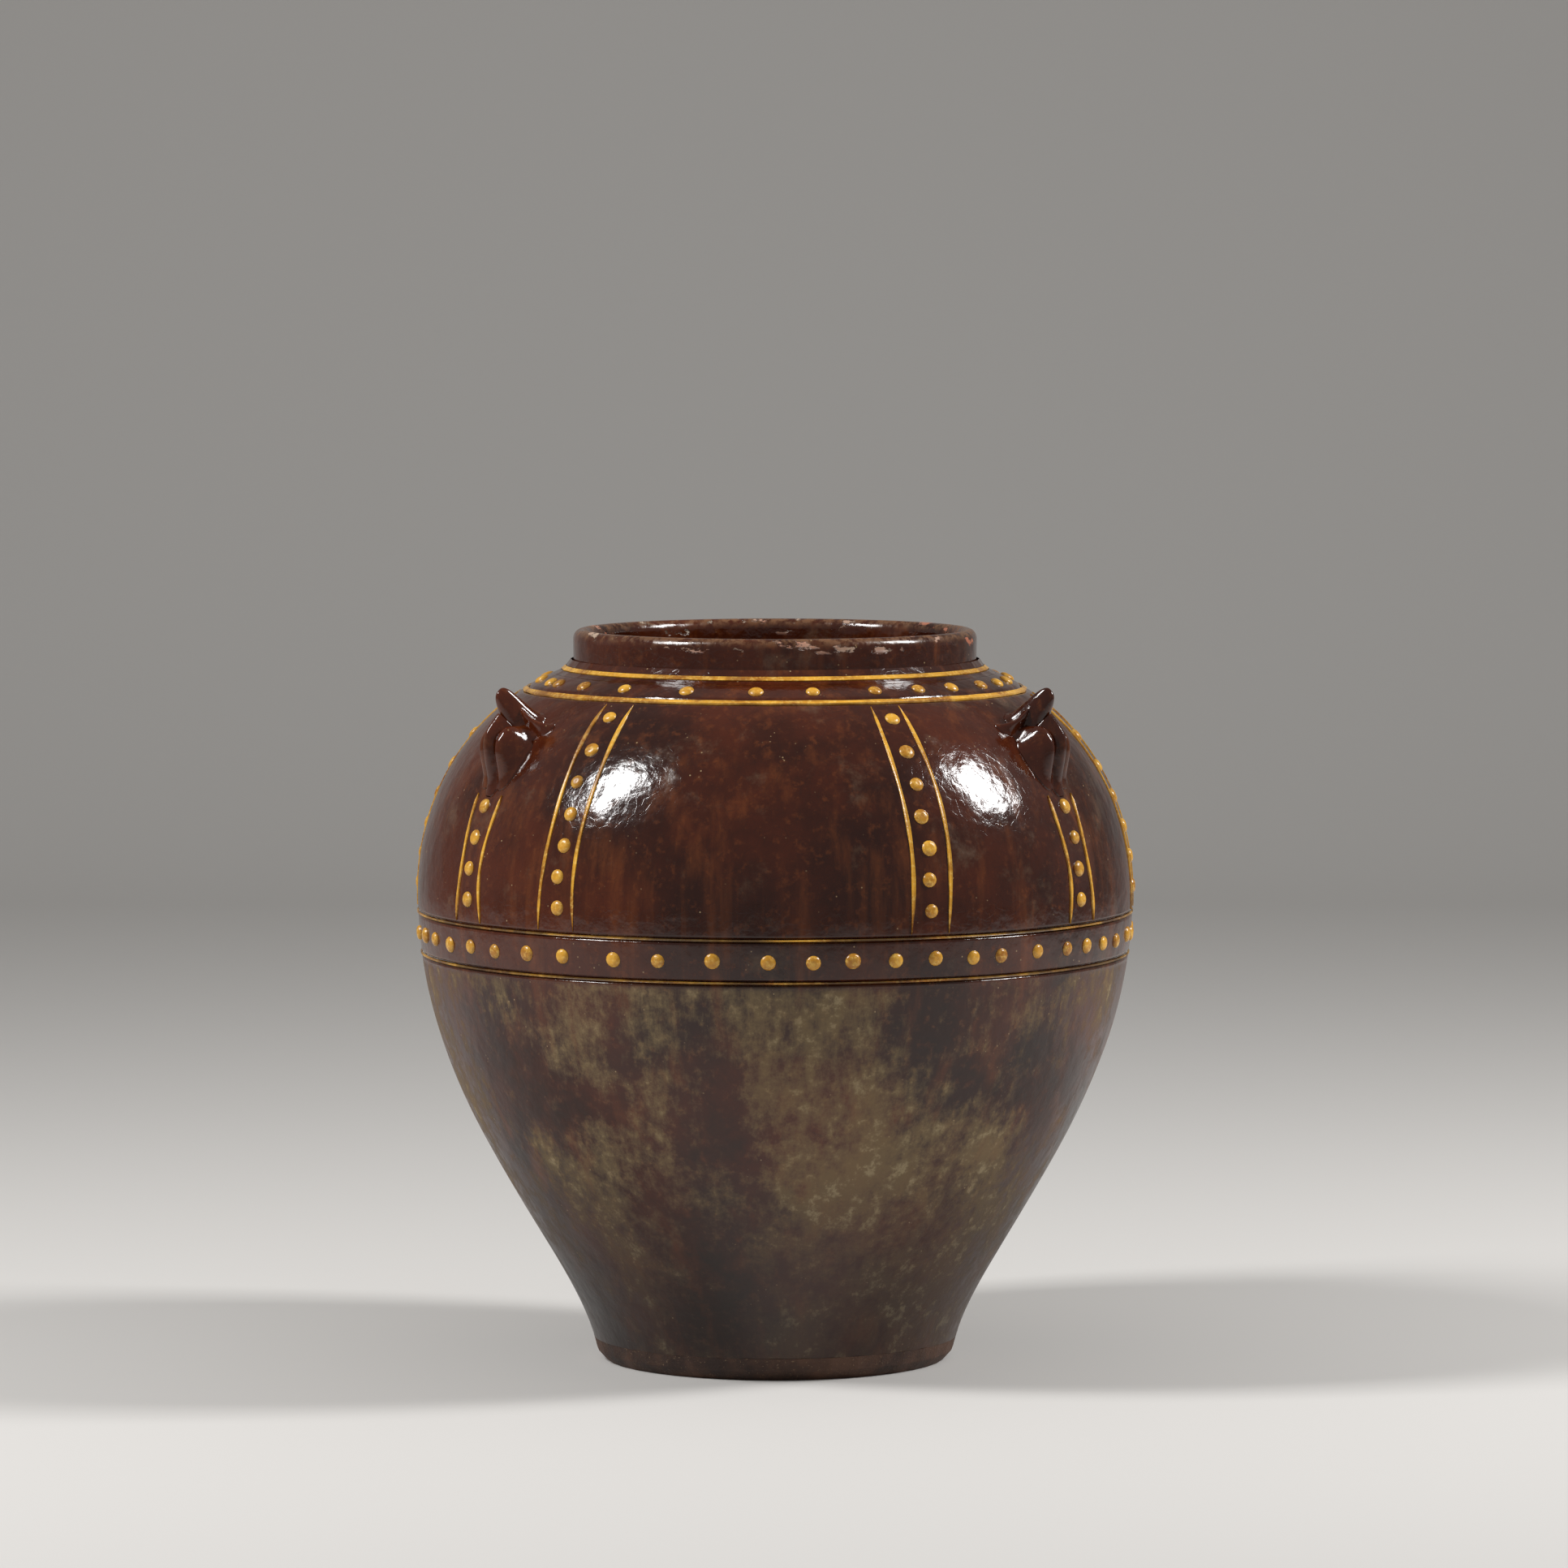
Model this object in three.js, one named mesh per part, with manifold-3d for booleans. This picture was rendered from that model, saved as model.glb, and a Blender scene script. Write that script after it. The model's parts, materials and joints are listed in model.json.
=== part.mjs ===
import * as THREE from 'three';
import { mergeVertices } from 'three/addons/utils/BufferGeometryUtils.js';
import Module from 'manifold-3d';

const wasm = await Module();
wasm.setup();

// Driving dimensions in millimetres, with Z up, the foot on z = 0 and the camera side at minus Y
const jarHeight = 451;
const neckHeight = 27;
const bellyHeight = 288;
const bellyRadius = 220.5;
const footRadius = 110;
const footBevelWidth = 5.5;
const footBevelHeight = 6;
const slabThickness = 14;
const wallThickness = 9;
const segments = 40;

// Pulls of the two cubic arcs that make the outline, and where the upper one ends near the neck
const footLean = 1.5;
const footPull = 57;
const lowerBellyPull = 138;
const upperBellyPull = 71;
const shoulderPull = 48.7;
const shoulderSlope = 0.329;
const shoulderEndOut = 3.2;
const shoulderEndRise = 3.3;

// Neck, rim and the joints
const neckOuterRadius = 124.5;
const neckWall = 10.5;
const neckFlare = 1;
const rimRoll = 12;
const rimCrestIn = 5;
const lipRoll = 9;
const spigotDepth = 10;
const spigotThickness = 3;
const neckCoilHeight = 8.5;
const seamLipHeight = 5;
const coilRadius = 7;
const coilGap = 1.5;
const jointGap = 0.3;

// Slip lines, each one an inlay in a groove, placed from the belly or from the neck seat
const grooveWidth = 3.4;
const grooveDepth = 1.6;
const lineProud = 0.3;
const upperBellyLineDrop = 10;
const lowerBellyLineDrop = 35.5;
const shoulderLineDrop = 9;
const neckGrooveWidth = 2.7;
const neckGrooveDepth = 1;
const neckLineRise = 3.5;

// Slip dots, in the belly row, the shoulder row and down the straps
const dotRadius = 3.8;
const dotCrownRadius = 3.4;
const dotCrownRise = 1;
const dotHeight = 1.8;
const dotSides = 5;
const bellyDotDrop = 22.7;
const bellyDotCount = 52;
const shoulderDotDrop = 4;
const shoulderDotCount = 26;
const fullStraps = [-93, -36, 25, 85, 143, 207];
const strapTopDrop = 16;
const strapFootRise = 5;
const strapDotCount = 7;
const lugStrapDotCount = 4;

// Lugs, each drawn outward and upward from where its chin meets the shoulder
const lugAzimuths = { lug_left: -57, lug_right: 57, lug_back: 180 };
const lugChinDrop = 63;
const finThickness = 11;
const finBevel = 2.5;
const finChin = [6, 19];
const finBrow = [1, 47];
const finTop = [-15, 66];
const finBack = [-32, 50];
const finRoot = [-50, 18];
const cheekSize = [10, 8, 19];
const cheekPlace = [-10, 8, 22];
const armRoot = [-13, 5, 48];
const armTip = [-31, 22, 38];
const armRootRadius = 5.5;
const armTipRadius = 3;
const hollowSize = [9, 6, 6];
const hollowPlace = [-9, 14, 37];

// Sizes that follow from the ones above
const neckSeat = jarHeight - neckHeight;
const neckInnerRadius = neckOuterRadius - neckWall;
const spigotRadius = neckInnerRadius + spigotThickness;
const shoulderEnd = [neckOuterRadius + shoulderEndOut, neckSeat + shoulderEndRise];
const bellyLines = {
  belly_line_lower: bellyHeight - lowerBellyLineDrop,
  belly_line_upper: bellyHeight - upperBellyLineDrop,
};
const shoulderLine = neckSeat - shoulderLineDrop;
const neckLine = neckSeat + neckLineRise;
const strapFoot = bellyHeight + strapFootRise;
const lugChin = neckSeat - lugChinDrop;

const brownGlaze = new THREE.Color(0x4a2b1e);
const yellowSlip = new THREE.Color(0x9c6c26);
const rawClay = new THREE.Color(0x6b4a38);

const lowerArc = [
  [footRadius, 0],
  [footRadius + footLean, footPull],
  [bellyRadius, bellyHeight - lowerBellyPull],
  [bellyRadius, bellyHeight],
];
const upperArc = [
  [bellyRadius, bellyHeight],
  [bellyRadius, bellyHeight + upperBellyPull],
  [shoulderEnd[0] + shoulderPull, shoulderEnd[1] - shoulderSlope * shoulderPull],
  shoulderEnd,
];

// Point of a cubic arc and its outward normal, moved out by a distance
function arcPoint(arc, t, out) {
  const s = 1 - t;
  const weights = [s * s * s, 3 * s * s * t, 3 * s * t * t, t * t * t];
  const slopes = [-3 * s * s, 3 * s * s - 6 * s * t, 6 * s * t - 3 * t * t, 3 * t * t];
  const mix = (list, axis) => list.reduce((sum, weight, i) => sum + weight * arc[i][axis], 0);
  const length = Math.hypot(mix(slopes, 0), mix(slopes, 1));
  const normal = [mix(slopes, 1) / length, -mix(slopes, 0) / length];
  return {
    point: new THREE.Vector2(mix(weights, 0) + out * normal[0], mix(weights, 1) + out * normal[1]),
    normal,
  };
}

// Place on an arc, moved out by a distance, that lies at a height
function arcAtHeight(arc, height, out = 0) {
  let low = 0;
  let high = 1;
  for (let i = 0; i < 40; i += 1) {
    const middle = (low + high) / 2;
    if (arcPoint(arc, middle, out).point.y < height) {
      low = middle;
    } else {
      high = middle;
    }
  }
  return low;
}

// Points along an arc between two heights
function arcRun(arc, from, to, steps, out = 0) {
  const start = arcAtHeight(arc, from, out);
  const end = arcAtHeight(arc, to, out);
  const points = [];
  for (let i = 0; i <= steps; i += 1) {
    points.push(arcPoint(arc, start + ((end - start) * i) / steps, out).point);
  }
  return points;
}

// Four corners of a groove or of the line that lies in it, from below to above
function grooveSection(arc, height, width, floor, top) {
  const low = arcAtHeight(arc, height - width / 2);
  const high = arcAtHeight(arc, height + width / 2);
  return [
    arcPoint(arc, low, top).point,
    arcPoint(arc, low, floor).point,
    arcPoint(arc, high, floor).point,
    arcPoint(arc, high, top).point,
  ];
}

function solidOf(geometry) {
  const bare = geometry.clone();
  bare.deleteAttribute('normal');
  bare.deleteAttribute('uv');
  const merged = mergeVertices(bare, 1e-4);
  const mesh = new wasm.Mesh({
    numProp: 3,
    vertProperties: merged.attributes.position.array,
    triVerts: new Uint32Array(merged.index.array),
  });
  return new wasm.Manifold(mesh);
}

function geometryOf(solid) {
  const mesh = solid.getMesh();
  const geometry = new THREE.BufferGeometry();
  geometry.setAttribute('position', new THREE.BufferAttribute(mesh.vertProperties, 3));
  geometry.setIndex(new THREE.BufferAttribute(mesh.triVerts, 1));
  geometry.computeVertexNormals();
  return geometry;
}

// Profile turned about the jar axis
function revolve(points, sides = segments) {
  const geometry = new THREE.LatheGeometry(points, sides);
  geometry.rotateX(Math.PI / 2);
  return geometry;
}

function turned(points) {
  return revolve([...points, points[0].clone()]);
}

function piece(name, geometry, colour, roughness) {
  const material = new THREE.MeshStandardMaterial({ color: colour, roughness, metalness: 0 });
  const mesh = new THREE.Mesh(geometry, material);
  mesh.name = name;
  return mesh;
}

// Turns a shape made with plus X outward to its azimuth, measured from minus Y toward plus X
function toAzimuth(geometry, degrees) {
  return geometry.rotateZ(THREE.MathUtils.degToRad(degrees - 90));
}

// Domed slip dot with its root below the surface
function dotAt(arc, height, degrees) {
  const { point, normal } = arcPoint(arc, arcAtHeight(arc, height), 0);
  const geometry = new THREE.LatheGeometry([
    new THREE.Vector2(0, -dotHeight),
    new THREE.Vector2(dotRadius, -dotHeight),
    new THREE.Vector2(dotCrownRadius, dotCrownRise),
    new THREE.Vector2(0, dotHeight),
  ], dotSides);
  geometry.rotateZ(-Math.atan2(normal[0], normal[1]));
  geometry.rotateX(Math.PI / 2);
  geometry.translate(point.x, 0, point.y);
  return solidOf(toAzimuth(geometry, degrees));
}

function withDots(geometry, dots) {
  const solid = dots.reduce((sum, dot) => sum.add(dot), solidOf(geometry));
  return geometryOf(solid);
}

function evenDots(arc, height, count) {
  const dots = [];
  for (let i = 0; i < count; i += 1) {
    dots.push(dotAt(arc, height, (360 * i) / count));
  }
  return dots;
}

// Dots down one strap, from below its top to above its foot
function strapDots(degrees, top, count) {
  const dots = [];
  for (let i = 0; i < count; i += 1) {
    dots.push(dotAt(upperArc, strapFoot + ((top - strapFoot) * i) / (count - 1), degrees));
  }
  return dots;
}

// Base slab with a small bevel under its edge
function baseSlab() {
  return revolve([
    new THREE.Vector2(0, 0),
    new THREE.Vector2(footRadius - footBevelWidth, 0),
    new THREE.Vector2(footRadius, footBevelHeight),
    arcPoint(lowerArc, arcAtHeight(lowerArc, slabThickness), 0).point,
    new THREE.Vector2(0, slabThickness),
  ]);
}

// Lower wall, with the two belly grooves and the inner half of its top edge raised as a lip
function lowerWall() {
  const inner = bellyRadius - wallThickness;
  const lip = bellyRadius - wallThickness / 2;
  const lipTop = bellyHeight + seamLipHeight;
  const profile = arcRun(lowerArc, slabThickness, bellyLines.belly_line_lower - grooveWidth, 7);
  for (const height of Object.values(bellyLines)) {
    profile.push(...grooveSection(lowerArc, height, grooveWidth, -grooveDepth, 0));
  }
  profile.push(
    new THREE.Vector2(bellyRadius, bellyHeight),
    new THREE.Vector2(lip, bellyHeight),
    new THREE.Vector2(lip, lipTop),
    new THREE.Vector2(inner, lipTop),
    ...arcRun(lowerArc, slabThickness, bellyHeight, 5, -wallThickness).reverse(),
  );
  return withDots(turned(profile), evenDots(lowerArc, bellyHeight - bellyDotDrop, bellyDotCount));
}

// Upper wall, rebated below to drop over the lip and cut flat above for the neck
function upperWall() {
  const rebate = bellyRadius - wallThickness / 2 + jointGap;
  const rebateTop = bellyHeight + seamLipHeight + jointGap;
  const opening = spigotRadius + jointGap;
  const mouthDrop = neckSeat - wallThickness;
  const profile = [
    ...arcRun(upperArc, bellyHeight, shoulderLine - grooveWidth, 8),
    ...grooveSection(upperArc, shoulderLine, grooveWidth, -grooveDepth, 0),
    arcPoint(upperArc, arcAtHeight(upperArc, neckSeat), 0).point,
    new THREE.Vector2(opening, neckSeat),
    new THREE.Vector2(opening, mouthDrop),
    ...arcRun(upperArc, rebateTop, mouthDrop, 5, -wallThickness).reverse(),
    new THREE.Vector2(rebate, rebateTop),
    new THREE.Vector2(rebate, bellyHeight),
  ];
  const dots = evenDots(upperArc, neckSeat - shoulderDotDrop, shoulderDotCount);
  for (const degrees of fullStraps) {
    dots.push(...strapDots(degrees, neckSeat - strapTopDrop, strapDotCount));
  }
  for (const degrees of Object.values(lugAzimuths)) {
    dots.push(...strapDots(degrees, lugChin - dotRadius * 2, lugStrapDotCount));
  }
  return withDots(turned(profile), dots);
}

// Neck collar with a softly rounded rim and a spigot that drops into the shoulder opening
function neckCollar() {
  const crest = neckOuterRadius - rimCrestIn;
  const outerArc = [
    [neckOuterRadius + neckFlare, neckSeat],
    [neckOuterRadius, jarHeight - rimRoll],
    [neckOuterRadius, jarHeight],
    [crest, jarHeight],
  ];
  const innerArc = [
    [crest, jarHeight],
    [neckInnerRadius, jarHeight],
    [neckInnerRadius, jarHeight],
    [neckInnerRadius, jarHeight - lipRoll],
  ];
  const profile = [];
  for (let i = 0; i <= 6; i += 1) {
    profile.push(arcPoint(outerArc, i / 6, 0).point);
  }
  for (let i = 1; i <= 3; i += 1) {
    profile.push(arcPoint(innerArc, i / 3, 0).point);
  }
  profile.push(
    new THREE.Vector2(neckInnerRadius, neckSeat - spigotDepth),
    new THREE.Vector2(spigotRadius, neckSeat - spigotDepth),
    new THREE.Vector2(spigotRadius, neckSeat),
  );
  return turned(profile);
}

// Concave outline of the coil pressed into the corner between neck and shoulder
const coilInner = neckOuterRadius + neckFlare + jointGap;
const coilOuter = arcPoint(upperArc, arcAtHeight(upperArc, neckSeat), 0).point.x - jointGap;
const coilWidth = coilOuter - coilInner;
const coilArc = [
  [coilOuter, neckSeat],
  [coilInner + coilWidth / 2, neckSeat + neckCoilHeight / 4],
  [coilInner + coilWidth / 4, neckSeat + neckCoilHeight / 2],
  [coilInner, neckSeat + neckCoilHeight],
];

function neckCoil() {
  const groove = grooveSection(coilArc, neckLine, neckGrooveWidth, -neckGrooveDepth, 0);
  return turned([
    ...arcRun(coilArc, neckSeat, groove[0].y, 2).slice(0, -1),
    ...groove,
    arcPoint(coilArc, 1, 0).point,
    new THREE.Vector2(coilInner, neckSeat),
  ]);
}

// Ring that fills a groove short of its sides and floor
function lineRing(arc, height, width, depth) {
  const section = grooveSection(arc, height, width - 2 * jointGap, jointGap - depth, lineProud);
  return turned(section.reverse());
}

// Coil pressed into the corner between the base slab and the lower wall
function footCoil() {
  const wallRun = arcRun(lowerArc, slabThickness, slabThickness + 2 * coilRadius, 2,
    -wallThickness - coilGap);
  const corner = new THREE.Vector2(wallRun[0].x - 2 * coilRadius, slabThickness);
  const hollow = new THREE.Vector2(wallRun[0].x - coilRadius, slabThickness + coilRadius / 2);
  return turned([...wallRun, hollow, corner]);
}

// Half-round coil pressed along the inside of the belly seam, with its back clear of both walls
function bellyCoil() {
  const middle = bellyHeight + seamLipHeight / 2;
  const below = arcAtHeight(lowerArc, middle - coilRadius, -wallThickness);
  const above = arcAtHeight(upperArc, middle + coilRadius, -wallThickness);
  const wall = Math.min(
    arcPoint(lowerArc, below, -wallThickness).point.x,
    arcPoint(upperArc, above, -wallThickness).point.x,
  ) - coilGap;
  const profile = [];
  for (let i = 0; i <= 5; i += 1) {
    const angle = (Math.PI * i) / 5;
    profile.push(new THREE.Vector2(
      wall - coilRadius * Math.sin(angle),
      middle + coilRadius * Math.cos(angle),
    ));
  }
  return turned(profile);
}

// Point of a lug, given outward, across and upward from its chin
function lugPoint(place, side = 1) {
  const chin = arcPoint(upperArc, arcAtHeight(upperArc, lugChin), 0).point;
  return new THREE.Vector3(chin.x + place[0], side * place[1], chin.y + place[2]);
}

function ellipsoid(size, place, side) {
  const geometry = new THREE.SphereGeometry(1, 10, 8);
  geometry.scale(...size);
  geometry.translate(...lugPoint(place, side).toArray());
  return solidOf(geometry);
}

// Tapering arm that runs from the brow of a lug down onto the shoulder
function lugArm(side) {
  const from = lugPoint(armRoot, side);
  const to = lugPoint(armTip, side);
  const run = to.clone().sub(from);
  const geometry = new THREE.CylinderGeometry(armTipRadius, armRootRadius, run.length(), 8);
  const middle = from.clone().add(to).divideScalar(2);
  const up = new THREE.Vector3(0, 1, 0);
  geometry.applyQuaternion(new THREE.Quaternion().setFromUnitVectors(up, run.normalize()));
  geometry.translate(...middle.toArray());
  return solidOf(geometry);
}

// Upright fin of a lug, drawn in the radial plane and given thickness across it
function lugFin() {
  const shape = new THREE.Shape();
  shape.moveTo(...finRoot);
  shape.lineTo(0, 0);
  shape.quadraticCurveTo(finChin[0], finChin[1] / 2, ...finChin);
  shape.quadraticCurveTo(finChin[0], (finChin[1] + finBrow[1]) / 2, ...finBrow);
  shape.quadraticCurveTo(finBrow[0], finTop[1], ...finTop);
  shape.quadraticCurveTo(finBack[0], finTop[1], ...finBack);
  shape.closePath();
  const geometry = new THREE.ExtrudeGeometry(shape, {
    depth: finThickness - 2 * finBevel,
    bevelThickness: finBevel,
    bevelSize: finBevel,
    bevelOffset: -finBevel,
    bevelSegments: 2,
    curveSegments: 4,
  });
  geometry.translate(0, 0, finBevel - finThickness / 2);
  geometry.rotateX(Math.PI / 2);
  geometry.translate(...lugPoint([0, 0, 0]).toArray());
  return solidOf(geometry);
}

// Moulded lug with a cheek, an arm and an undercut hollow on each side, fitted to the shoulder
function lug(degrees) {
  let solid = lugFin();
  for (const side of [-1, 1]) {
    solid = solid.add(ellipsoid(cheekSize, cheekPlace, side)).add(lugArm(side));
  }
  for (const side of [-1, 1]) {
    solid = solid.subtract(ellipsoid(hollowSize, hollowPlace, side));
  }
  const shoulder = solidOf(revolve([
    new THREE.Vector2(0, bellyHeight),
    ...arcRun(upperArc, bellyHeight, neckSeat, 10, jointGap),
    new THREE.Vector2(0, neckSeat),
  ]));
  const placed = solidOf(toAzimuth(geometryOf(solid), degrees));
  return geometryOf(placed.subtract(shoulder));
}

const jar = new THREE.Group();
jar.name = 'ceramic_urn';
jar.add(piece('base_slab', baseSlab(), rawClay, 0.75));
jar.add(piece('foot_coil', footCoil(), brownGlaze, 0.4));
jar.add(piece('lower_wall', lowerWall(), brownGlaze, 0.35));
jar.add(piece('belly_coil', bellyCoil(), brownGlaze, 0.4));
jar.add(piece('upper_wall', upperWall(), brownGlaze, 0.25));
jar.add(piece('neck_coil', neckCoil(), brownGlaze, 0.25));
jar.add(piece('neck_collar', neckCollar(), brownGlaze, 0.25));
for (const [name, degrees] of Object.entries(lugAzimuths)) {
  jar.add(piece(name, lug(degrees), brownGlaze, 0.3));
}
for (const [name, height] of Object.entries(bellyLines)) {
  jar.add(piece(name, lineRing(lowerArc, height, grooveWidth, grooveDepth), yellowSlip, 0.3));
}
jar.add(piece('shoulder_line', lineRing(upperArc, shoulderLine, grooveWidth, grooveDepth),
  yellowSlip, 0.3));
jar.add(piece('neck_line', lineRing(coilArc, neckLine, neckGrooveWidth, neckGrooveDepth),
  yellowSlip, 0.3));

export default jar;
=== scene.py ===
import json
import math

import bpy
import numpy as np
from mathutils import Matrix

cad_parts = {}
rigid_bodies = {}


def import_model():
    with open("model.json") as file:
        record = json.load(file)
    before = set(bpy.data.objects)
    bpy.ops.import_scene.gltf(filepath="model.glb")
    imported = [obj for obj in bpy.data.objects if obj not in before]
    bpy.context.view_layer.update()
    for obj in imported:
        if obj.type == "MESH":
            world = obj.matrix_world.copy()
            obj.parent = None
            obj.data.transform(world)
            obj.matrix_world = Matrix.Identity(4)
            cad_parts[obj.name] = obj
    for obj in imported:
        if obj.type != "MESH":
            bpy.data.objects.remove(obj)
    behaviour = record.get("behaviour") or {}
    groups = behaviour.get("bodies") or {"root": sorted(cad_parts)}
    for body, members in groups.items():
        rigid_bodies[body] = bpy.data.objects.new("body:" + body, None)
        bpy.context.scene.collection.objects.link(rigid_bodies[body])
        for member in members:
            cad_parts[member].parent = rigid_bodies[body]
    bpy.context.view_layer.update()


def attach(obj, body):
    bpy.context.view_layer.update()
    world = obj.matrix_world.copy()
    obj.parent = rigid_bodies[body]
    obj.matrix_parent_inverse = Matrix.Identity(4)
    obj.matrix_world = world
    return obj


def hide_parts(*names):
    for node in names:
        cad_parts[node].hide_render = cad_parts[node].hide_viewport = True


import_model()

# Sizes in metres: the wall, and the control points of the two arcs of its outline
jar = dict(wall=0.009, floor=0.014, belly=0.288, seat=0.424, wobble=0.0003, columns=400)
lowerArc = np.array([(0.110, 0.0), (0.1115, 0.057), (0.2205, 0.150), (0.2205, 0.288)])
upperArc = np.array([(0.2205, 0.288), (0.2205, 0.359), (0.1764, 0.4113), (0.1277, 0.4273)])


# Radius and height along a cubic arc, and its outward normal
def arcAt(arc, t):
    t = np.asarray(t, float)[..., None]
    s = 1 - t
    point = s**3 * arc[0] + 3 * s * s * t * arc[1] + 3 * s * t * t * arc[2] + t**3 * arc[3]
    start, middle, end = arc[1] - arc[0], arc[2] - arc[1], arc[3] - arc[2]
    slope = 3 * (s * s * start + 2 * s * t * middle + t * t * end)
    normal = np.stack([slope[..., 1], -slope[..., 0]], -1)
    return point, normal / np.linalg.norm(normal, axis=-1, keepdims=True)


# Place on the whole outline by height, found on a fine table of both arcs
tableT = np.linspace(0, 1, 2000)
lowerPoints, lowerNormals = arcAt(lowerArc, tableT)
upperPoints, upperNormals = arcAt(upperArc, tableT)
outlinePoints = np.concatenate([lowerPoints, upperPoints[1:]])
outlineNormals = np.concatenate([lowerNormals, upperNormals[1:]])


def outlineAt(height):
    radius = np.interp(height, outlinePoints[:, 1], outlinePoints[:, 0])
    across = np.interp(height, outlinePoints[:, 1], outlineNormals[:, 0])
    up = np.interp(height, outlinePoints[:, 1], outlineNormals[:, 1])
    return radius, across, up


# Point on the outside at an azimuth and height, moved out along the normal
def onWall(degrees, height, out=0.0):
    angle = np.radians(degrees)
    radius, across, up = outlineAt(height)
    radius = radius + out * across
    return np.stack([
        radius * np.sin(angle), -radius * np.cos(angle), height + out * up + 0 * angle], -1)


# Mesh from a grid of points; the second direction closes on itself when asked
def gridPiece(name, points, closed=True):
    rows, columns = points.shape[:2]
    mesh = bpy.data.meshes.new(name)
    across = np.arange(columns if closed else columns - 1)
    i, j = np.meshgrid(np.arange(rows - 1), across, indexing="ij")
    k = (j + 1) % columns
    here, above = i * columns, (i + 1) * columns
    faces = np.stack([here + j, here + k, above + k, above + j], -1).reshape(-1, 4)
    mesh.from_pydata(points.reshape(-1, 3).tolist(), [], faces.tolist())
    mesh.polygons.foreach_set("use_smooth", np.ones(len(mesh.polygons), bool))
    mesh.set_sharp_from_angle(angle=0.8)
    mesh.update()
    piece = bpy.data.objects.new(name, mesh)
    bpy.context.scene.collection.objects.link(piece)
    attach(piece, "root")
    return piece


# Profile of radius and height turned about the axis, with a slow handmade wobble
def turnedPiece(name, profile, columns=jar["columns"], wobble=jar["wobble"]):
    profile = np.asarray(profile, float)
    angle = np.linspace(0, 2 * np.pi, columns, endpoint=False)
    radius, height = profile[:, :1], profile[:, 1:]
    sway = (np.sin(2 * angle + 40 * height) + np.sin(3 * angle - 27 * height + 1.3)
            + 0.6 * np.sin(7 * angle + 90 * height + 0.4)) / 2.6
    radius = radius - wobble * (1 + sway) * np.minimum(1, radius / 0.05)
    points = np.stack([radius * np.sin(angle), -radius * np.cos(angle), height + 0 * angle], -1)
    return gridPiece(name, points)


# Groove cut in a run of outline heights: a smooth channel of a width and a depth
def channel(height, middle, width, depth):
    return -depth * np.exp(-(((height - middle) / (width / 2)) ** 4))


lines = dict(bellyUpper=0.278, bellyLower=0.2525, shoulder=0.415, width=0.0034, depth=0.0012)

# Lower wall: outside with the two belly channels, over the seam lip, then the inside
lowerCut = dict(plainTop=0.246, bandTop=0.284, lipRadius=0.216, lipInner=0.2116, lipTop=0.2929)
height = np.concatenate([
    np.linspace(jar["floor"], lowerCut["plainTop"], 74),
    np.linspace(lowerCut["plainTop"] + 0.0005, lowerCut["bandTop"], 84),
    np.linspace(lowerCut["bandTop"] + 0.001, jar["belly"], 3),
])
radius, across, up = outlineAt(height)
cut = sum(channel(height, lines[at], lines["width"], lines["depth"])
          for at in ("bellyUpper", "bellyLower"))
outside = np.stack([radius + cut * across, height + cut * up], -1)
point, normal = arcAt(lowerArc, np.linspace(1, 0.08, 40))
inside = point - jar["wall"] * normal
inside = inside[inside[:, 1] > jar["floor"] + 0.0001]
lip = [(lowerCut["lipRadius"], jar["belly"]), (lowerCut["lipRadius"], lowerCut["lipTop"]),
       (lowerCut["lipInner"], lowerCut["lipTop"])]
underside = [(inside[-1, 0], jar["floor"] + 0.0001), (outside[0, 0], jar["floor"])]
lowerWall = turnedPiece("wall_lower", np.concatenate([outside, lip, inside, underside]))
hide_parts("lower_wall")

# Upper wall: outside with the shoulder channel, the flat neck seat, then the inside
upperCut = dict(plainTop=0.408, opening=0.1173, mouth=0.415, rebate=0.2163, rebateTop=0.2934,
                edge=0.2204)
height = np.concatenate([
    np.linspace(jar["belly"], upperCut["plainTop"], 90),
    np.linspace(upperCut["plainTop"] + 0.0005, jar["seat"] - 0.0001, 50),
])
radius, across, up = outlineAt(height)
cut = channel(height, lines["shoulder"], lines["width"], lines["depth"])
outside = np.stack([radius + cut * across, height + cut * up], -1)
point, normal = arcAt(upperArc, np.linspace(1, 0.02, 40))
inside = point - jar["wall"] * normal
keep = (inside[:, 1] > upperCut["rebateTop"] + 0.0001) & (inside[:, 1] < upperCut["mouth"])
mouth = [(upperCut["opening"], jar["seat"]), (upperCut["opening"], upperCut["mouth"])]
rebate = [(upperCut["rebate"], upperCut["rebateTop"]), (upperCut["rebate"], jar["belly"]),
          (upperCut["edge"], jar["belly"])]
upperWall = turnedPiece("wall_upper", np.concatenate([outside, mouth, inside[keep], rebate]))
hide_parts("upper_wall")

# Neck collar: slightly waisted wall with a rounded lip, and its spigot
neck = dict(foot=0.1254, waist=0.1242, top=0.1244, inner=0.114, spigot=0.117, spigotFoot=0.414,
            rollCentre=0.1193, rollRadius=0.0051, rollFoot=0.4446, rollHeight=0.0062,
            boreTop=0.440, boreFoot=0.430)
bend = np.linspace(0, np.pi, 22)
lip = np.stack([neck["rollCentre"] + neck["rollRadius"] * np.cos(bend),
                neck["rollFoot"] + neck["rollHeight"] * np.sin(bend)], -1)
waist = np.interp(np.linspace(0, 1, 16), [0, 0.4, 1], [neck["foot"], neck["waist"], neck["top"]])
side = np.stack([waist, np.linspace(jar["seat"] + 0.0005, neck["rollFoot"] - 0.0006, 16)], -1)
seat = [(neck["foot"], jar["seat"])]
bore = [(neck["inner"] + 0.0001, neck["boreTop"]), (neck["inner"], neck["boreFoot"]),
        (neck["inner"], neck["spigotFoot"]), (neck["spigot"], neck["spigotFoot"]),
        (neck["spigot"], jar["seat"])]
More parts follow.
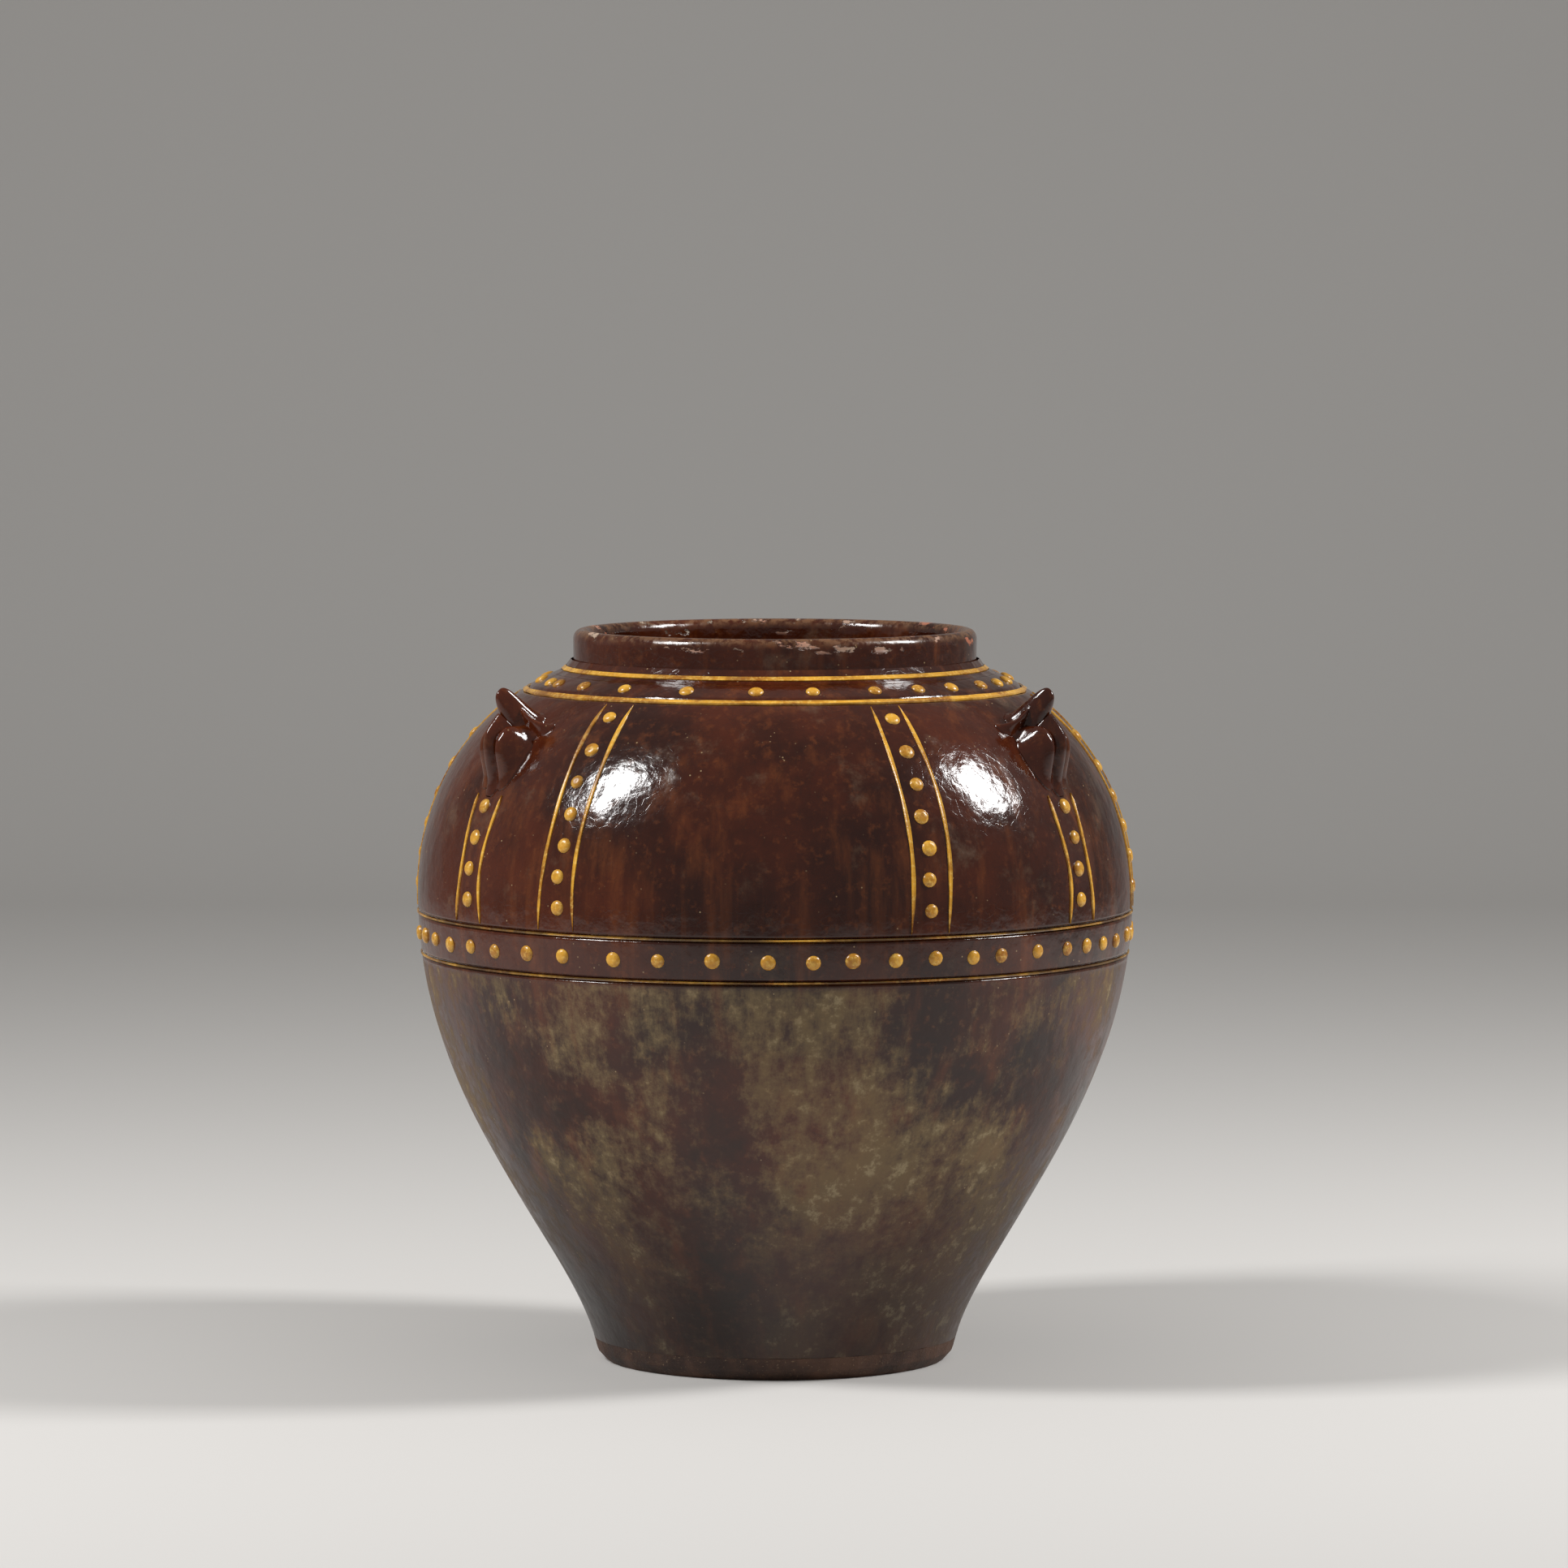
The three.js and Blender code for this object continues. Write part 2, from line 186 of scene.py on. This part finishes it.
collar = turnedPiece("neck_and_rim", np.concatenate([seat, side, lip, bore, seat]), 420, 0.0002)
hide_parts("neck_collar")
print("walls and neck")


# Line of slip: a ribbon whose edges stand a little above its middle and dip into the wall
def ribbonLift(across, base, edge):
    return base + edge * across**2 - 0.0012 * (np.abs(across) > 0.95)


# Ring line in its channel, its width swelling and thinning on the way round
def ringLine(name, middle, width, solid, seed):
    angle = np.linspace(0, 360, 720, endpoint=False)[None, :]
    rng = np.random.default_rng(seed)
    waves = 0
    for k in range(3, 40, 4):
        waves = waves + rng.uniform(0.3, 1) * np.sin(np.radians(angle) * k + rng.uniform(0, 6))
    half = width / 2 * (1 + 0.05 * waves)
    across = np.linspace(-1, 1, 9)[:, None]
    lift = ribbonLift(across, 0.00005, 0.0003) + 0 * angle
    piece = gridPiece(name, onWall(angle + 0 * across, middle + across * half, lift))
    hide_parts(solid)
    return piece


bellyLines = [
    ringLine("slip_belly_upper", lines["bellyUpper"], 0.0012, "belly_line_upper", 11),
    ringLine("slip_belly_lower", lines["bellyLower"], 0.0011, "belly_line_lower", 12),
]
slipPieces = [ringLine("slip_shoulder", lines["shoulder"], 0.0020, "shoulder_line", 13)]

# Straps: azimuth and length; a pair of lines runs down each
strap = dict(halfAngle=3.3, lineWidth=0.0027, foot=0.2805, full=0.4120, short=0.357,
             dotInset=0.007, dotFoot=0.294, fullDots=7, shortDots=4)
straps = [(-93, "full"), (-36, "full"), (25, "full"), (85, "full"), (143, "full"), (207, "full"),
          (-57, "short"), (57, "short"), (180, "short")]
for number, (degrees, kind) in enumerate(straps):
    rng = np.random.default_rng(40 + number)
    for side, word in ((-1, "left"), (1, "right")):
        along = np.linspace(0, 1, 70)[:, None]
        heights = strap[kind] + (strap["foot"] - strap[kind]) * along
        radius = outlineAt(heights)[0]
        sway = 0.5 * np.sin(along * 5 + rng.uniform(0, 6))
        centre = degrees + side * strap["halfAngle"] + sway
        taper = np.clip(along / 0.06, 0.05, 1) * np.clip((1 - along) / 0.12, 0.05, 1)
        swell = 1 + 0.15 * np.sin(along * 23 + rng.uniform(0, 6))
        half = strap["lineWidth"] / 2 * taper * swell
        across = np.linspace(-1, 1, 9)[None, :]
        lift = ribbonLift(across, 0.0001, 0.0004) + 0 * along
        points = onWall(centre + np.degrees(across * half / radius), heights + 0 * across, lift)
        line = gridPiece(f"strap_{number + 1}_line_{word}", points[:, ::-1], False)
        slipPieces.append(line)


# Dots: domes with a small dimple, all of one row in one mesh
dot = dict(size=0.0045, rise=0.0017, sides=14, spread=0.08,
           rings=[(1.04, -0.4), (0.98, 0.15), (0.8, 0.62), (0.5, 0.93), (0.24, 0.98)], dimple=0.84)


def dotRow(name, places, seed):
    rng = np.random.default_rng(seed)
    sides = dot["sides"]
    turn = np.linspace(0, 2 * np.pi, sides, endpoint=False)
    verts, faces = [], []
    for degrees, high in places:
        out, up = outlineAt(high)[1:]
        angle = math.radians(degrees)
        outward = np.array([math.sin(angle) * out, -math.cos(angle) * out, up])
        sideways = np.array([math.cos(angle), math.sin(angle), 0])
        upward = np.cross(outward, sideways)
        centre = onWall(degrees, high)
        scale = dot["size"] * rng.uniform(1 - dot["spread"], 1 + dot["spread"])
        start = len(verts)
        for ring, lift in dot["rings"]:
            for a in turn:
                around = math.cos(a) * sideways + math.sin(a) * upward
                verts.append(centre + scale * ring * around + dot["rise"] * lift * outward)
        verts.append(centre + dot["rise"] * dot["dimple"] * outward)
        last = start + (len(dot["rings"]) - 1) * sides
        for here in range(start, last, sides):
            for j in range(sides):
                k = (j + 1) % sides
                faces.append((here + j, here + k, here + sides + k, here + sides + j))
        for j in range(sides):
            faces.append((last + j, last + (j + 1) % sides, last + sides))
    mesh = bpy.data.meshes.new(name)
    mesh.from_pydata([tuple(v) for v in verts], [], faces)
    mesh.polygons.foreach_set("use_smooth", np.ones(len(faces), bool))
    piece = bpy.data.objects.new(name, mesh)
    bpy.context.scene.collection.objects.link(piece)
    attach(piece, "root")
    slipPieces.append(piece)


# Measured azimuths of the rows on the front; the back goes on at the same spacing
rows = dict(belly=0.2653, bellyDrift=0.0007, bellyStep=7.05, shoulder=0.4206, shoulderStep=13.9)
front = [-84.6, -76.6, -70.2, -63.6, -56.6, -50, -42.5, -35.2, -25.9, -18.4, -9.7, -1, 6, 12.2,
         19.1, 25.8, 32.6, 38, 45.8, 53.2, 59, 65, 71, 79, 84.6]
rng = np.random.default_rng(5)
back = [91.5 + rows["bellyStep"] * i + rng.uniform(-0.9, 0.9) for i in range(26)]
drift = rows["bellyDrift"]
places = [(a, rows["belly"] + rng.uniform(-drift, drift)) for a in front + back[:-1]]
dotRow("dots_belly", places, 1)
front = [-72, -66, -53.5, -39, -21.6, -4.5, 9.1, 24.7, 36.9, 47.8, 60.3, 70.3, 80]
back = [94 + rows["shoulderStep"] * i + rng.uniform(-1.2, 1.2) for i in range(14)]
dotRow("dots_shoulder", [(a, rows["shoulder"]) for a in front + back], 2)
places = []
for degrees, kind in straps:
    count = strap[kind + "Dots"]
    top = strap[kind] - strap["dotInset"]
    for i in range(count):
        share = i / (count - 1)
        places.append((degrees + rng.uniform(-0.4, 0.4), top + (strap["dotFoot"] - top) * share))
dotRow("dots_straps", places, 3)
print("lines and dots")

# Lug: a relief over the shoulder, of a spine under a lobe, two cheeks and two arms
lug = dict(
    foot=0.361, top=0.070, half=0.028, lean=0.25, skirt=0.0012, finHalf=0.0044, finSpread=0.0020,
    spine=(0.0185, 0.024, 0.0185, 2.6), lobe=(0.0265, 0.041, 0.0092, 3.0),
    cheek=(0.015, 0.023, 0.0155, 0.0088, 0.0062), arm=(0.016, 0.046, 0.0033, 0.0245),
)
steps = np.linalg.norm(np.diff(outlinePoints, axis=0), axis=1)
arcLength = np.concatenate([[0], np.cumsum(steps)])
arcLength = arcLength - np.interp(lug["foot"], outlinePoints[:, 1], arcLength)


# Bump of a height, a middle, a spread and a steepness
def bumpAt(u, height, middle, spread, steepness):
    return height * np.exp(-(np.abs((u - middle) / spread) ** steepness))


def lugPiece(solid, degrees):
    u = np.linspace(-0.006, lug["top"], 150)[:, None]
    v = np.linspace(-lug["half"], lug["half"], 121)[None, :]
    aside = np.abs(v)
    spine = bumpAt(u, *lug["spine"])
    lobe = bumpAt(u, *lug["lobe"])
    ridge = np.maximum(spine, lobe) + 0.2 * np.minimum(spine, lobe) * (lobe < spine)
    finHalf = lug["finHalf"] + lug["finSpread"] * np.clip(u / 0.058, 0, 1)
    fin = ridge * np.exp(-(aside / finHalf) ** 2.4)
    height, middle, tall, out, wide = lug["cheek"]
    oval = ((u - middle) / tall) ** 2 + ((aside - out) / wide) ** 2
    cheek = height * np.exp(-(oval ** 1.4))
    height, middle, thick, reach = lug["arm"]
    armAt = middle - 0.004 * np.sin(np.clip(aside / 0.024, 0, 1) * 3.0)
    arm = height * np.clip(1 - aside / reach, 0, 1) * np.exp(-((u - armAt) / thick) ** 2)
    hollow = np.exp(-((u - armAt + 0.008) / 0.004) ** 2) * np.exp(-((aside - 0.013) / 0.005) ** 2)
    relief = np.maximum(np.maximum(fin, cheek), arm)
    relief = relief + 0.25 * np.minimum(cheek, fin) - 0.002 * hollow
    relief = relief - lug["skirt"] * (relief < 0.0004)
    heights = np.interp(u[:, 0], arcLength, outlinePoints[:, 1])[:, None]
    radius = outlineAt(heights)[0]
    points = onWall(degrees + np.degrees(v / radius), heights + 0 * v, relief)
    points[..., 2] += relief * lug["lean"]
    piece = gridPiece(solid + "_moulded", points[::-1], False)
    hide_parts(solid)
    return piece


lugAzimuths = dict(lug_left=-57, lug_right=57, lug_back=180)
lugPieces = [lugPiece(solid, degrees) for solid, degrees in lugAzimuths.items()]
print("lugs")


# Wraps a shader socket so that plain expressions add Math nodes
class Field:
    def __init__(self, tree, socket):
        self.tree = tree
        self.socket = socket

    def math(self, operation, *others):
        return node(self.tree, "ShaderNodeMath", {"operation": operation}, [self, *others])

    def __add__(self, other):
        return self.math("ADD", other)

    def __sub__(self, other):
        return self.math("SUBTRACT", other)

    def __rsub__(self, other):
        return (self * -1) + other

    def __mul__(self, other):
        return self.math("MULTIPLY", other)

    def step(self, low, high):
        return node(self.tree, "ShaderNodeMapRange", {"interpolation_type": "SMOOTHSTEP"},
                    [self, low, high, 0.0, 1.0])


# Adds any node: its settings first, then the values or links of its sockets
def node(tree, kind, settings, inputs, output=0):
    made = tree.nodes.new(kind)
    for key, value in settings.items():
        setattr(made, key, value)
    pairs = inputs.items() if isinstance(inputs, dict) else enumerate(inputs)
    for key, value in pairs:
        if isinstance(value, Field):
            tree.links.new(value.socket, made.inputs[key])
        else:
            made.inputs[key].default_value = value
    return Field(tree, made.outputs[output])


def mix(tree, factor, first, second):
    return node(tree, "ShaderNodeMix", {"data_type": "RGBA"}, {0: factor, 6: first, 7: second}, 2)


def rgb(red, green, blue):
    def straight(value):
        value = value / 255
        return value / 12.92 if value < 0.04045 else ((value + 0.055) / 1.055) ** 2.4
    return (straight(red), straight(green), straight(blue), 1)


def noise(tree, place, scale, detail=4.0, rough=0.55):
    return node(tree, "ShaderNodeTexNoise", {}, {"Vector": place, "Scale": scale, "Detail": detail,
                                                 "Roughness": rough})


def stretched(tree, place, scale):
    return node(tree, "ShaderNodeVectorMath", {"operation": "MULTIPLY"}, [place, scale])


def startMaterial(name):
    material = bpy.data.materials.new(name)
    material.use_nodes = True
    tree = material.node_tree
    tree.nodes.clear()
    shader = tree.nodes.new("ShaderNodeBsdfPrincipled")
    output = tree.nodes.new("ShaderNodeOutputMaterial")
    tree.links.new(shader.outputs[0], output.inputs[0])
    place = node(tree, "ShaderNodeTexCoord", {}, {}, 3)
    return material, tree, shader, place


def finish(tree, shader, colour, rough, height, distance):
    tree.links.new(colour.socket, shader.inputs["Base Color"])
    tree.links.new(rough.socket, shader.inputs["Roughness"])
    relief = {"Strength": 1.0, "Distance": distance, "Height": height}
    bump = node(tree, "ShaderNodeBump", {}, relief)
    tree.links.new(bump.socket, shader.inputs["Normal"])


glaze = dict(
    dark=rgb(40, 13, 5), mid=rgb(76, 30, 11), light=rgb(118, 62, 26), dust=rgb(140, 120, 84),
    speck=rgb(176, 150, 112), crack=rgb(32, 17, 12), crumb=rgb(176, 160, 124), foot=rgb(26, 15, 9),
    grime=rgb(120, 98, 76), edge=rgb(128, 92, 62), redClay=rgb(158, 90, 62),
    paleClay=rgb(176, 158, 138), dustTop=0.2515, rimFoot=0.4445, rimTop=0.4503,
)


# Brown glaze: mottle, runs, specks and crazing; dust and wear below the belly band; a chipped rim
def brownGlaze():
    material, tree, shader, place = startMaterial("brown_glaze_surface")
    up = node(tree, "ShaderNodeSeparateXYZ", {}, [place], 2)
    side = node(tree, "ShaderNodeSeparateXYZ", {}, [place], 0)
    broad = noise(tree, place, 9.0, 6.0, 0.6)
    fine = noise(tree, place, 190.0, 5.0, 0.62)
    runs = noise(tree, stretched(tree, place, (60, 60, 5)), 1.0, 5.0, 0.6)
    colour = mix(tree, broad.step(0.35, 0.68), glaze["dark"], glaze["mid"])
    colour = mix(tree, runs.step(0.5, 0.78) * 0.5, colour, glaze["light"])
    colour = mix(tree, fine.step(0.52, 0.75) * 0.35, colour, glaze["light"])
    specks = node(tree, "ShaderNodeTexVoronoi", {}, {"Vector": place, "Scale": 240.0})
    pick = noise(tree, place, 55.0, 3.0)
    speck = (1 - specks.step(0.06, 0.16)) * pick.step(0.56, 0.66)
    colour = mix(tree, speck * 0.8, colour, glaze["speck"])
    craze = node(tree, "ShaderNodeTexVoronoi", {"feature": "DISTANCE_TO_EDGE"},
                 {"Vector": place, "Scale": 160.0})
    crack = 1 - craze.step(0.0, 0.03)
    colour = mix(tree, crack * 0.3, colour, glaze["crack"])
    below = 1 - up.step(0.246, glaze["dustTop"])
    foot = up.step(0.03, 0.16)
    patches = noise(tree, place, 7.0, 7.0, 0.66)
    wiped = noise(tree, stretched(tree, place, (34, 34, 7)), 1.0, 6.0, 0.62)
    crumbs = noise(tree, place, 95.0, 8.0, 0.75)
    smear = noise(tree, stretched(tree, place, (150, 150, 26)), 1.0, 5.0, 0.7)
    film = patches * 1.1 + wiped * 0.5 + crumbs * 0.55 + smear * 0.35
    lean = 1 - side.step(-0.16, 0.16) * 0.1
    dust = film.step(1.16, 1.42) * below * (foot * 0.65 + 0.35) * lean
    wear = film.step(1.3, 1.5) * crumbs.step(0.5, 0.62) * below
    colour = mix(tree, dust * 0.62, colour, glaze["dust"])
    colour = mix(tree, wear * 0.5, colour, glaze["crumb"])
    # Darker towards the foot, and darker in noise patches below the belly band
    darker = below * (1 - foot) * 0.6 + below * (1 - patches.step(0.36, 0.46)) * 0.6
    darker = darker.math("MINIMUM", 0.85)
    colour = mix(tree, darker, colour, glaze["foot"])
    grime = noise(tree, place, 30.0, 6.0, 0.7).step(0.55, 0.75) * (1 - below) * 0.28
    colour = mix(tree, grime, colour, glaze["grime"])
    rim = up.step(glaze["rimFoot"], glaze["rimTop"])
    edge = rim * fine.step(0.38, 0.6)
    colour = mix(tree, edge * 0.55, colour, glaze["edge"])
    chips = noise(tree, stretched(tree, place, (1, 1, 2.2)), 62.0, 5.0, 0.6)
    chip = chips.step(0.60, 0.64) * up.step(0.4405, glaze["rimFoot"])
    clay = mix(tree, broad.step(0.4, 0.6), glaze["redClay"], glaze["paleClay"])
    colour = mix(tree, chip, colour, clay)
    matte = dust * 0.42 + chip * 0.45 + edge * 0.2 + grime * 0.6
    rough = (fine * 0.10 + runs * 0.06 + 0.04 + below * 0.2 + matte).math("MINIMUM", 0.92)
    peel = noise(tree, place, 75.0, 3.0, 0.5)
    swell = noise(tree, place, 22.0, 3.0, 0.5)
    height = peel * 0.9 + swell * 2.2 + fine * 0.18 - crack * 0.02 - chip * 1.6 + dust * fine * 0.3
    finish(tree, shader, colour, rough, height, 0.0006)
    return material


# Slip glaze: amber with pale honey flecks painted in as a highlight, and worn in patches to a
# darker colour
def slipGlaze(name, low, high, under):
    material, tree, shader, place = startMaterial(name)
    broad = noise(tree, place, 38.0, 5.0, 0.6)
    fine = noise(tree, place, 420.0, 4.0, 0.6)
    colour = mix(tree, broad.step(0.32, 0.66), rgb(150, 92, 26), rgb(222, 164, 52))
    # Pale honey flecks over the slip: a painted highlight
    colour = mix(tree, fine.step(0.45, 0.7) * 0.55, colour, rgb(240, 200, 104))
    worn = noise(tree, place, 14.0, 5.0, 0.65).step(low, high)
    colour = mix(tree, worn * 0.85, colour, under)
    rough = fine * 0.2 + worn * 0.15 + 0.14
    finish(tree, shader, colour, rough, fine * 0.5 + broad * 0.5, 0.0004)
    return material


# Bare fired clay of the base
def bareClay():
    material, tree, shader, place = startMaterial("bare_clay_surface")
    broad = noise(tree, place, 24.0, 6.0, 0.65)
    grit = noise(tree, place, 500.0, 4.0, 0.7)
    colour = mix(tree, broad.step(0.35, 0.65), rgb(44, 27, 20), rgb(86, 58, 42))
    colour = mix(tree, grit.step(0.6, 0.7) * 0.6, colour, rgb(150, 126, 98))
    finish(tree, shader, colour, grit * 0.25 + 0.6, grit + broad * 0.5, 0.0005)
    return material


brown = brownGlaze()
slip = slipGlaze("yellow_slip_surface", 0.54, 0.68, rgb(128, 80, 28))
wornSlip = slipGlaze("worn_slip_surface", 0.36, 0.56, rgb(34, 18, 9))
baseClay = bareClay()


def dress(piece, material):
    piece.data.materials.clear()
    piece.data.materials.append(material)


for piece in [lowerWall, upperWall, collar, *lugPieces]:
    dress(piece, brown)
for piece in slipPieces:
    dress(piece, slip)
for piece in bellyLines:
    dress(piece, wornSlip)
solids = dict(base_slab=baseClay, foot_coil=brown, belly_coil=brown, neck_coil=brown,
              neck_line=slip)
for piece in bpy.data.objects:
    for holder in piece.material_slots:
        holder.material = solids.get(piece.name.split(".")[0], holder.material)
print("materials")

# Floor that curves up into the backdrop, all one grey
room = dict(half=7.0, front=-7.0, bend=3.2, radius=1.6, top=6.0)
curve = np.linspace(0, np.pi / 2, 24)
rounded = np.stack([room["bend"] + room["radius"] * np.sin(curve),
                    room["radius"] * (1 - np.cos(curve))], -1)
topEdge = (room["bend"] + room["radius"], room["top"])
sweep = np.concatenate([[(room["front"], 0.0)], rounded, [topEdge]])
mesh = bpy.data.meshes.new("backdrop")
points = [(x, y, z) for y, z in sweep for x in (-room["half"], room["half"])]
strips = [(2 * i, 2 * i + 1, 2 * i + 3, 2 * i + 2) for i in range(len(sweep) - 1)]
mesh.from_pydata(points, [], strips)
mesh.polygons.foreach_set("use_smooth", np.ones(len(sweep) - 1, bool))
floor = bpy.data.objects.new("backdrop", mesh)
bpy.context.scene.collection.objects.link(floor)
paint, _, shader, _ = startMaterial("backdrop_paint")
shader.inputs["Base Color"].default_value = (0.60, 0.585, 0.565, 1)
shader.inputs["Roughness"].default_value = 0.9
shader.inputs["Specular IOR Level"].default_value = 0.1
dress(floor, paint)


# Soft box aimed at the jar from a direction
box = dict(distance=2.6, wide=0.46, tall=0.78, power=56, aim=0.3)


def softBox(name, direction):
    data = bpy.data.lights.new(name, "AREA")
    data.shape = "RECTANGLE"
    data.size = box["wide"]
    data.size_y = box["tall"]
    data.energy = box["power"]
    lamp = bpy.data.objects.new(name, data)
    bpy.context.scene.collection.objects.link(lamp)
    way = np.array(direction) / np.linalg.norm(direction)
    lamp.location = way * box["distance"] + np.array([0, 0, box["aim"]])
    across = np.cross([0, 0, 1], way)
    across = across / np.linalg.norm(across)
    upright = np.cross(way, across)
    lamp.rotation_mode = "QUATERNION"
    turn = Matrix(np.stack([across, upright, way], 1).tolist())
    lamp.rotation_quaternion = turn.to_quaternion()


softBox("box_left", (-0.68, -0.255, 0.687))
softBox("box_right", (0.78, -0.04, 0.62))

world = bpy.data.worlds.new("studio")
world.use_nodes = True
sky = world.node_tree.nodes["Background"]
sky.inputs["Color"].default_value = (0.64, 0.63, 0.62, 1)
sky.inputs["Strength"].default_value = 0.42
scene = bpy.context.scene
scene.world = world

# Camera: long lens, level in roll, looking down by a few degrees
view = dict(lens=186.3, distance=4.985, height=0.7184, side=0.0055, down=4.17)
data = bpy.data.cameras.new("camera")
data.lens = view["lens"]
data.sensor_width = 36
data.clip_end = 60
camera = bpy.data.objects.new("camera", data)
scene.collection.objects.link(camera)
camera.location = (view["side"], -view["distance"], view["height"])
camera.rotation_euler = (math.radians(90 - view["down"]), 0, 0)
scene.camera = camera
scene.view_settings.view_transform = "Standard"
